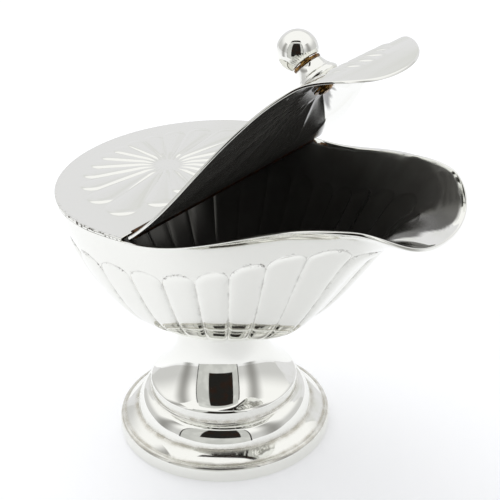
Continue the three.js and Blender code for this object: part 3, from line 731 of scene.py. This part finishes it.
def make_knob(boat, nickel, brass):
    """The knob's pieces as profiles round the stud, stood on the front lid and leant with its slope."""
    s = boat.s
    run = s.crest_x - s.hinge_x
    slope = np.arctan(np.pi * s.crest_rise / (2 * run) * np.sin(np.pi * (s.knob_x - s.hinge_x) / run))
    foot = np.array([s.knob_x, 0, boat.rim_height(s.knob_x) + LID_GAP + s.lid])

    def stand(profile):
        return to_row(opened(boat, revolved(profile, KNOB_COLUMNS) @ raised(slope).T + foot))

    base = np.vstack([bevelled(KNOB_BAND, KNOB_BAND_BEVEL, 8), bezier(KNOB_CONE, CONE_ROWS),
                      [(STUD_HOLE, KNOB_CONE[-1][1]), (STUD_HOLE, KNOB_BAND[0][1])]])
    surface("knob_base_turned", stand(base), "lid", [nickel], ["knob_base"])
    collar = bevelled([(STUD_HOLE, COLLAR_LOW), (COLLAR_RADIUS, COLLAR_LOW), (COLLAR_RADIUS, COLLAR_TOP),
                       (STUD_HOLE, COLLAR_TOP)], COLLAR_BEVEL, 5)
    surface("knob_collar_turned", stand(collar), "lid", [brass], ["knob_collar"])
    turn = np.linspace(np.arccos((BALL_FLAT - BALL_CENTRE) / s.ball_radius), 0, BALL_ROWS)
    ball = np.column_stack([s.ball_radius * np.sin(turn), BALL_CENTRE + s.ball_radius * np.cos(turn)])
    ball[-1, 0] = 0
    profile = np.vstack([[(0, BALL_SOCKET), (STUD_HOLE, BALL_SOCKET), (STUD_HOLE, BALL_FLAT)], ball])
    surface("knob_ball_turned", stand(profile), "lid", [nickel], ["knob_ball"])


def sheet_loop(thickness, width, corner, count=6):
    """Outline of a strip's section, a rectangle with quarter-circle corners, as places across and along."""
    turn = np.linspace(0, np.pi / 2, count)
    arc = np.stack([np.cos(turn), np.sin(turn)], -1) * corner
    half = np.array([thickness, width]) / 2 - corner
    quarters = [arc, arc[::-1] * (-1, 1), -arc, arc[::-1] * (1, -1)]
    centres = [half, half * (-1, 1), -half, half * (1, -1)]
    return np.vstack([quarter + centre for quarter, centre in zip(quarters, centres)])


def swept(path, normals, section, y, ends):
    """Carries a section along a path in the XZ plane: across the path's normal and along Y.

    Toward both ends the section's thickness falls to nothing as a quarter circle, which closes the strip."""
    run = np.r_[0, np.cumsum(np.linalg.norm(np.diff(path, axis=0), axis=1))]
    room = np.minimum(run, run[-1] - run) / ends
    taper = np.sqrt(np.maximum(0, 1 - (1 - np.minimum(1, room)) ** 2))[:, None]
    flat = path[:, None] + normals[:, None] * (section[None, :, :1] * taper[..., None])
    return np.stack([flat[..., 0], np.broadcast_to(y + section[:, 1], flat.shape[:2]), flat[..., 1]], -1)


def make_hinge(boat, brass):
    """Barrel knuckles rolled from sheet: a circle of sheet round the pin, left open by a slit.

    The path is a circle through the middle of the sheet, and its section is as wide as the knuckle is long."""
    s = boat.s
    half = np.interp(s.hinge_x, boat.outline[:, 0], boat.outline[:, 1]) - BARREL_INSET
    size = (2 * half - (KNUCKLE_COUNT - 1) * KNUCKLE_GAP) / KNUCKLE_COUNT
    sheet = s.barrel_radius - BARREL_BORE
    middle = s.barrel_radius - sheet / 2
    section = sheet_loop(sheet, size, KNUCKLE_CORNER)
    turn = np.linspace(ROLL_START, ROLL_END, KNUCKLE_ROWS)
    nodes = ["rear_knuckle_near", "lid_knuckle_near", "rear_knuckle_middle", "lid_knuckle_far",
             "rear_knuckle_far"]
    for i, node in enumerate(nodes):
        on_lid = i % 2 == 1
        circle = np.stack([np.sin(turn) * (-1 if on_lid else 1), np.cos(turn)], -1)
        y = (i - (KNUCKLE_COUNT - 1) / 2) * (size + KNUCKLE_GAP)
        points = swept(circle * middle, circle, section if on_lid else section[::-1], y, sheet / 2)
        points = points + np.array([s.hinge_x, 0, boat.hinge_z])
        if on_lid:
            points = opened(boat, points)
        surface(node + "_rolled", to_row(points), "lid" if on_lid else "boat", [brass], [node],
                joined=False)


def add(tree, kind, settings=None, links=None):
    """Adds one shader node, sets its properties and inputs, and links its inputs from other nodes' outputs."""
    node = tree.nodes.new("ShaderNode" + kind)
    for key, value in (settings or {}).items():
        if isinstance(key, str) and hasattr(node, key):
            setattr(node, key, value)
        else:
            node.inputs[key].default_value = value
    for key, output in (links or {}).items():
        tree.links.new(output, node.inputs[key])
    return node


def new_material(name):
    material = bpy.data.materials.new(name)
    material.use_nodes = True
    material.node_tree.nodes.clear()
    return material, material.node_tree


def residue_and_outline_shade(tree, place):
    """Polish residue in specks about 0.7 mm apart where the groove mark is strong, and painted shade in a thin
    line along each lobe's rounded top and creases.
    """
    groove = add(tree, "Attribute", {"attribute_name": "groove"}).outputs["Fac"]
    crease = add(tree, "Attribute", {"attribute_name": "crease"}).outputs["Fac"]
    runs = add(tree, "TexNoise", {"Scale": RESIDUE_AND_SHADE_RUNS, "Detail": 1}, {"Vector": place}).outputs["Fac"]
    fine = add(tree, "TexNoise", {"Scale": RESIDUE_SPECKS, "Detail": 2}, {"Vector": place}).outputs["Fac"]
    specks = add(tree, "MapRange", {"From Min": 0.5, "From Max": 0.62}, {"Value": fine}).outputs[0]
    patches = add(tree, "MapRange", {"From Min": 0.5, "From Max": 0.6}, {"Value": runs}).outputs[0]
    both = add(tree, "Math", {"operation": "MULTIPLY"}, {0: specks, 1: patches}).outputs[0]
    held = add(tree, "Math", {"operation": "MULTIPLY"}, {0: both, 1: groove}).outputs[0]
    # Painted shade: a thin line along each lobe's rounded top and creases, uneven in strength
    share = {"From Min": 0.3, "From Max": 0.7, "To Min": 0.05, "To Max": 0.4}
    thin = add(tree, "MapRange", share, {"Value": runs}).outputs[0]
    line = add(tree, "Math", {"operation": "MULTIPLY"}, {0: thin, 1: crease}).outputs[0]
    return add(tree, "Math", {"operation": "MAXIMUM"}, {0: held, 1: line}).outputs[0]


def polish_and_highlight_marks(tree, place):
    """Pale polish dried in the foot's corners, partly painted highlight over dark reflections, with painted
    highlight only at the band's edge, in soft runs about 4 mm long.
    """
    groove = add(tree, "Attribute", {"attribute_name": "groove"}).outputs["Fac"]
    runs = add(tree, "TexNoise", {"Scale": POLISH_AND_HIGHLIGHT_RUNS, "Detail": 2}, {"Vector": place}).outputs["Fac"]
    share = {"From Min": 0.35, "From Max": 0.65, "To Min": 0.2, "To Max": 0.7}
    soft = add(tree, "MapRange", share, {"Value": runs}).outputs[0]
    return add(tree, "Math", {"operation": "MULTIPLY"}, {0: soft, 1: groove}).outputs[0]


def seam_dirt(tree, place):
    """Dark solder and residue in specks about 0.9 mm apart, along the seam mark at the lid's edge."""
    seam = add(tree, "Attribute", {"attribute_name": "seam"}).outputs["Fac"]
    fine = add(tree, "TexNoise", {"Scale": SOLDER_SPECKS, "Detail": 3}, {"Vector": place}).outputs["Fac"]
    specks = add(tree, "MapRange", {"From Min": 0.52, "From Max": 0.62}, {"Value": fine}).outputs[0]
    return add(tree, "Math", {"operation": "MULTIPLY"}, {0: specks, 1: seam}).outputs[0]


def painted_inside_shade(tree, place):
    """Painted shade inside the bowl and below the lids, as the mask of a dark colour, uneven by a few
    hundredths over patches of 8 mm.
    """
    film = add(tree, "Attribute", {"attribute_name": "film"}).outputs["Fac"]
    clouds = add(tree, "TexNoise", {"Scale": HAZE, "Detail": 3}, {"Vector": place}).outputs["Fac"]
    level = add(tree, "MapRange", {"To Min": 0.9}, {"Value": clouds}).outputs[0]
    return add(tree, "Math", {"operation": "MULTIPLY"}, {0: level, 1: film}).outputs[0]


# Nickel plate on brass sheet, buffed with a mop to a mirror with a faint warm grey tint: the colour of what
# dulls it, here and there painted shade or painted highlight, its most haze, the height of its waves, where it
# is dulled, and how rough and metallic it is there
NICKEL = {
    # On the foot and the knob: pale polish has dried in the foot's corners, partly painted highlight, and a
    # painted highlight at the band's edge
    "nickel plate, mirror buffed": ("polish_and_highlight", 0.07, 0.00006, polish_and_highlight_marks, 0.4, 0.3),
    # On the bowl's outside: residue and thin plate in specks at the tops of the lobes and in their creases, and
    # painted shade in a line along each lobe's outline
    "nickel plate, buffed over lobes": ("residue_and_shade", 0.08, 0.00008, residue_and_outline_shade, 0.5, 0.5),
    # On top of the lids: dark specks of solder and residue along the edge
    "nickel plate, buffed over pressed sheet": ("residue_and_shade", 0.08, 0.00008, seam_dirt, 0.5, 0.3),
    # Inside the bowl and below the lids: bright at the lip, and painted shade farther in
    "nickel plate, inside": ("inside", 0.08, 0.00012, painted_inside_shade, 0.2, 0.5),
}

# Bare brass that tarnishes in patches of about 1 mm: its colour, and its roughness where bright and where brown
BRASS = {
    # Turned on a lathe and left without plate: golden brown
    "brass, turned": ("brass", 0.2, 0.45),
    # Rolled from sheet, out of every mop's reach: brown all over and rough
    "brass, rolled and tarnished": ("hinge", 0.35, 0.6),
}


def finish(name, colours):
    """A finish by its name, made once and shared by every piece that has it."""
    made = bpy.data.materials.get(name)
    if made:
        return made
    table, maker = (NICKEL, polished_nickel) if name in NICKEL else (BRASS, bare_brass)
    dull_or_bright, *rest = table[name]
    return maker(name, colours, getattr(colours, dull_or_bright), *rest)


def polished_nickel(name, colours, dull, haze_most, wave, dull_mask, dull_rough, dull_metal):
    """A mirror over worked sheet: long low waves from hammer and mop, a fine uneven haze, and what dulls it."""
    material, tree = new_material(name)
    place = add(tree, "TexCoord").outputs["Object"]
    clouds = add(tree, "TexNoise", {"Scale": HAZE, "Detail": 4}, {"Vector": place}).outputs["Fac"]
    share = {"From Min": 0.3, "From Max": 0.75, "To Min": HAZE_LEAST, "To Max": haze_most}
    haze = add(tree, "MapRange", share, {"Value": clouds}).outputs[0]
    waves = {"Scale": MOP_WAVES, "Detail": 1.5, "Roughness": 0.4}
    swell = add(tree, "TexNoise", waves, {"Vector": place}).outputs["Fac"]
    bump = add(tree, "Bump", {"Distance": wave}, {"Height": swell}).outputs[0]
    mask = dull_mask(tree, place)
    both = {"data_type": "RGBA", 6: (*colours.nickel, 1), 7: (*dull, 1)}
    tone = add(tree, "Mix", both, {0: mask}).outputs[2]
    rough = add(tree, "Mix", {3: dull_rough}, {0: mask, 2: haze}).outputs[0]
    metal = add(tree, "Mix", {2: 1.0, 3: dull_metal}, {0: mask}).outputs[0]
    plate = add(tree, "BsdfPrincipled", links={
        "Base Color": tone, "Metallic": metal, "Roughness": rough, "Normal": bump}).outputs[0]
    add(tree, "OutputMaterial", links={"Surface": plate})
    return material


def bare_brass(name, colours, bright, rough_bright, rough_brown):
    """Brass whose tarnish lies in patches: a noise picks between a bright and a brown colour and roughness."""
    material, tree = new_material(name)
    place = add(tree, "TexCoord").outputs["Object"]
    clouds = add(tree, "TexNoise", {"Scale": TARNISH, "Detail": 5}, {"Vector": place}).outputs["Fac"]
    patch = add(tree, "MapRange", {"From Min": 0.38, "From Max": 0.6}, {"Value": clouds}).outputs[0]
    both = {"data_type": "RGBA", 6: (*bright, 1), 7: (*colours.tarnish, 1)}
    tone = add(tree, "Mix", both, {0: patch}).outputs[2]
    share = {"To Min": rough_bright, "To Max": rough_brown}
    rough = add(tree, "MapRange", share, {"Value": patch}).outputs[0]
    brass = add(tree, "BsdfPrincipled", {"Metallic": 1.0}, {"Base Color": tone, "Roughness": rough}).outputs[0]
    add(tree, "OutputMaterial", links={"Surface": brass})
    return material


def stage_mesh(name, corners, material):
    mesh = bpy.data.meshes.new(name)
    mesh.from_pydata(np.asarray(corners, float).tolist(), [], [(0, 1, 2, 3)])
    mesh.materials.append(material)
    item = linked(name, mesh)
    return item


def card(name, azimuth, distance, side, height, width, tall, material):
    """An upright card that shows only in the boat's polish: the floor gets no light or shade from it."""
    turn = np.radians(azimuth)
    right = toward(turn + np.pi / 2)
    middle = to_row(distance * toward(turn) + side * right + (0, 0, height))
    corners = [middle + a * width / 2 * right + (0, 0, b * tall / 2)
               for a, b in ((-1, -1), (1, -1), (1, 1), (-1, 1))]
    item = stage_mesh(name, corners, material)
    item.data.attributes.new("across", "FLOAT", "POINT").data.foreach_set("value", [-1.0, 1.0, 1.0, -1.0])
    for rays in ("camera", "diffuse", "shadow", "transmission"):
        setattr(item, "visible_" + rays, False)


def glow(name, low, high, clouds):
    """A card as the polish sees it: an even tone with soft clouds of a second, so many to the metre."""
    material, tree = new_material(name)
    place = add(tree, "TexCoord").outputs["Object"]
    soft = add(tree, "TexNoise", {"Scale": clouds, "Detail": 2}, {"Vector": place}).outputs["Fac"]
    share = add(tree, "MapRange", {"From Min": 0.45, "From Max": 0.7}, {"Value": soft}).outputs[0]
    tone = add(tree, "Mix", {"data_type": "RGBA", 6: (*low, 1), 7: (*high, 1)}, {0: share}).outputs[2]
    light = add(tree, "Emission", links={"Color": tone}).outputs[0]
    add(tree, "OutputMaterial", links={"Surface": light})
    return material


def shade(name, dark):
    """A fold's shade as the polish sees it: darkest along the card's middle, clear at both its sides."""
    material, tree = new_material(name)
    across = add(tree, "Attribute", {"attribute_name": "across"}).outputs["Fac"]
    off = add(tree, "Math", {"operation": "ABSOLUTE"}, {0: across}).outputs[0]
    fall = {"interpolation_type": "SMOOTHSTEP", "To Min": 0.8, "To Max": 0}
    depth = add(tree, "MapRange", fall, {"Value": off}).outputs[0]
    light = add(tree, "Emission", {"Color": (*dark, 1)}).outputs[0]
    clear = add(tree, "BsdfTransparent").outputs[0]
    both = add(tree, "MixShader", links={0: depth, 1: clear, 2: light}).outputs[0]
    add(tree, "OutputMaterial", links={"Surface": both})
    return material


def make_floor(colours):
    """Smooth white paper: matt, and lifted a little for the camera so that it meets the white behind."""
    material, tree = new_material("white paper floor")
    place = add(tree, "TexCoord").outputs["Object"]
    grain = add(tree, "TexNoise", {"Scale": PAPER_GRAIN, "Detail": 2}, {"Vector": place}).outputs["Fac"]
    bump = add(tree, "Bump", {"Distance": PAPER_RELIEF}, {"Height": grain}).outputs[0]
    matt = add(tree, "BsdfDiffuse", {"Color": (*colours.floor, 1)}, {"Normal": bump}).outputs[0]
    ray = add(tree, "LightPath").outputs
    seen = ray["Is Camera Ray"]
    for kind in ("Is Glossy Ray", "Is Transmission Ray"):
        seen = add(tree, "Math", {"operation": "MAXIMUM"}, {0: seen, 1: ray[kind]}).outputs[0]
    lift = add(tree, "MapRange", {"To Max": FLOOR_LIFT}, {"Value": seen}).outputs[0]
    shine = add(tree, "Emission", links={"Strength": lift}).outputs[0]
    paper = add(tree, "AddShader", links={0: matt, 1: shine}).outputs[0]
    add(tree, "OutputMaterial", links={"Surface": paper})
    corners = np.array([(-1, -1, 0), (1, -1, 0), (1, 1, 0), (-1, 1, 0)]) * FLOOR_HALF
    stage_mesh("floor", corners, material)


def make_world():
    """A white room: full white to the camera, plain white light, and in the polish greyer low down."""
    scene = bpy.context.scene
    scene.view_settings.view_transform = "Standard"
    world = scene.world or bpy.data.worlds.new("studio")
    scene.world = world
    world.use_nodes = True
    tree = world.node_tree
    tree.nodes.clear()
    ray = add(tree, "LightPath").outputs
    way = add(tree, "TexCoord").outputs["Generated"]
    height = add(tree, "SeparateXYZ", links={"Vector": way}).outputs["Z"]
    rise = {"interpolation_type": "SMOOTHSTEP", "From Min": MIRRORED_FROM, "From Max": MIRRORED_TO,
            "To Min": MIRRORED_LOW, "To Max": MIRRORED_HIGH}
    mirrored = add(tree, "MapRange", rise, {"Value": height}).outputs[0]
    polish = add(tree, "Mix", {2: ROOM_LEVEL}, {0: ray["Is Glossy Ray"], 3: mirrored})
    level = add(tree, "Mix", {3: 1.0}, {0: ray["Is Camera Ray"], 2: polish.outputs[0]})
    light = add(tree, "Background", {"Color": (1, 1, 1, 1)}, {"Strength": level.outputs[0]})
    add(tree, "OutputWorld", links={"Surface": light.outputs["Background"]})


def make_lamp():
    """One broad soft lamp from behind and to the left, which gives the floor its soft shadow."""
    data = bpy.data.lights.new("soft lamp", "AREA")
    data.shape = "DISK"
    data.size = LAMP_SIZE
    data.energy = LAMP_WATTS
    lamp = linked("soft lamp", data)
    way = Vector(toward(LAMP_TURN, LAMP_RISE))
    lamp.location = way * LAMP_DISTANCE
    lamp.rotation_euler = way.to_track_quat("Z", "Y").to_euler()
    lamp.visible_glossy = False
    lamp.visible_camera = False


def make_cards(colours):
    """What the polish mirrors: the tent's front with its dark opening, its seams and folds, and its back."""
    looks = {
        "front": glow("tent cloth, shaded", colours.cloth, colours.cloth_light, 9),
        "dark": glow("dark opening", colours.dark, colours.warm, 16),
        "fold": shade("fold shade", colours.seam),
        "back": glow("tent cloth, back", colours.back, colours.cloth_light, 6),
    }
    for name, (tone, *layout) in CARDS.items():
        card(name, *layout, looks[tone])


def make_camera():
    """Camera at the photograph's angle: turned from the front toward the spout, looking down."""
    turn, tilt, roll = np.radians(CAMERA_ANGLES)
    back, right = toward(turn, tilt), toward(turn + np.pi / 2)
    up = np.cross(back, right)
    target = to_row(np.array([0, 0, CAMERA_HEIGHT]))
    matrix = np.eye(4)
    matrix[:3, 0] = np.cos(roll) * right + np.sin(roll) * up
    matrix[:3, 1] = -np.sin(roll) * right + np.cos(roll) * up
    matrix[:3, 2] = back
    matrix[:3, 3] = target + CAMERA_DISTANCE * back + CAMERA_SHIFT[0] * right + CAMERA_SHIFT[1] * up
    data = bpy.data.cameras.new("camera")
    data.lens = CAMERA_LENS
    data.clip_start = 0.01
    camera = linked("camera", data)
    camera.matrix_world = Matrix(matrix.tolist())
    bpy.context.scene.camera = camera


class PieceOperator:
    """What the operators for the boat's pieces share."""
    bl_options = {"REGISTER", "UNDO"}

    def execute(self, context):
        self.build(Boat(context.scene.boat_sizes), context.scene.boat_finish)
        return {"FINISHED"}


class BOAT_OT_bowl(PieceOperator, bpy.types.Operator):
    """Builds the lobed bowl"""
    bl_idname = "boat.bowl"
    bl_label = "Bowl"

    def build(self, boat, colours):
        make_bowl(boat, [finish("nickel plate, buffed over lobes", colours),
                         finish("nickel plate, inside", colours)])


class BOAT_OT_lids(PieceOperator, bpy.types.Operator):
    """Builds the fixed rear lid and the hinged front lid"""
    bl_idname = "boat.lids"
    bl_label = "Lids"

    def build(self, boat, colours):
        materials = [finish("nickel plate, buffed over pressed sheet", colours),
                     finish("nickel plate, inside", colours)]
        make_lid(boat, False, materials)
        make_lid(boat, True, materials)


class BOAT_OT_foot(PieceOperator, bpy.types.Operator):
    """Builds the spun foot"""
    bl_idname = "boat.foot"
    bl_label = "Foot"

    def build(self, boat, colours):
        make_foot(boat, finish("nickel plate, mirror buffed", colours))


class BOAT_OT_knob(PieceOperator, bpy.types.Operator):
    """Builds the knob's base, collar and ball"""
    bl_idname = "boat.knob"
    bl_label = "Knob"

    def build(self, boat, colours):
        make_knob(boat, finish("nickel plate, mirror buffed", colours), finish("brass, turned", colours))


class BOAT_OT_hinge(PieceOperator, bpy.types.Operator):
    """Builds the hinge's rolled knuckles"""
    bl_idname = "boat.hinge"
    bl_label = "Hinge knuckles"

    def build(self, boat, colours):
        make_hinge(boat, finish("brass, rolled and tarnished", colours))


class BOAT_OT_fasteners(PieceOperator, bpy.types.Operator):
    """Gives the pin, the bolt, the stud and their washers and nut their finish"""
    bl_idname = "boat.fasteners"
    bl_label = "Pin, bolt and stud"

    def build(self, boat, colours):
        brass = finish("brass, turned", colours)
        for node in ("hinge_pin", "stem_bolt", "stem_washer", "stem_nut", "knob_stud", "knob_washer"):
            mesh = bpy.data.objects[node].data
            mesh.materials.clear()
            mesh.materials.append(brass)


class BOAT_OT_stage(PieceOperator, bpy.types.Operator):
    """Builds the floor, the light, what the polish mirrors, and the camera"""
    bl_idname = "boat.stage"
    bl_label = "Stage"

    def build(self, boat, colours):
        make_floor(colours)
        make_world()
        make_lamp()
        make_cards(colours)
        make_camera()


PIECES = [BOAT_OT_bowl, BOAT_OT_lids, BOAT_OT_foot, BOAT_OT_knob, BOAT_OT_hinge, BOAT_OT_fasteners,
          BOAT_OT_stage]


class BOAT_PT_pieces(bpy.types.Panel):
    """Lists the boat's pieces"""
    bl_idname = "BOAT_PT_pieces"
    bl_label = "Incense boat"
    bl_space_type = "VIEW_3D"
    bl_region_type = "UI"
    bl_category = "Incense boat"

    def draw(self, context):
        for piece in PIECES:
            self.layout.operator(piece.bl_idname)


CLASSES = [BoatSizes, BoatFinish, *PIECES, BOAT_PT_pieces]


def register():
    for item in CLASSES:
        bpy.utils.register_class(item)
    bpy.types.Scene.boat_sizes = bpy.props.PointerProperty(type=BoatSizes)
    bpy.types.Scene.boat_finish = bpy.props.PointerProperty(type=BoatFinish)


def unregister():
    del bpy.types.Scene.boat_sizes
    del bpy.types.Scene.boat_finish
    for item in reversed(CLASSES):
        bpy.utils.unregister_class(item)


def main():
    register()
    bpy.ops.boat.bowl()
    bpy.ops.boat.lids()
    bpy.ops.boat.foot()
    bpy.ops.boat.knob()
    bpy.ops.boat.hinge()
    bpy.ops.boat.fasteners()
    bpy.ops.boat.stage()


if __name__ == "__main__":
    main()
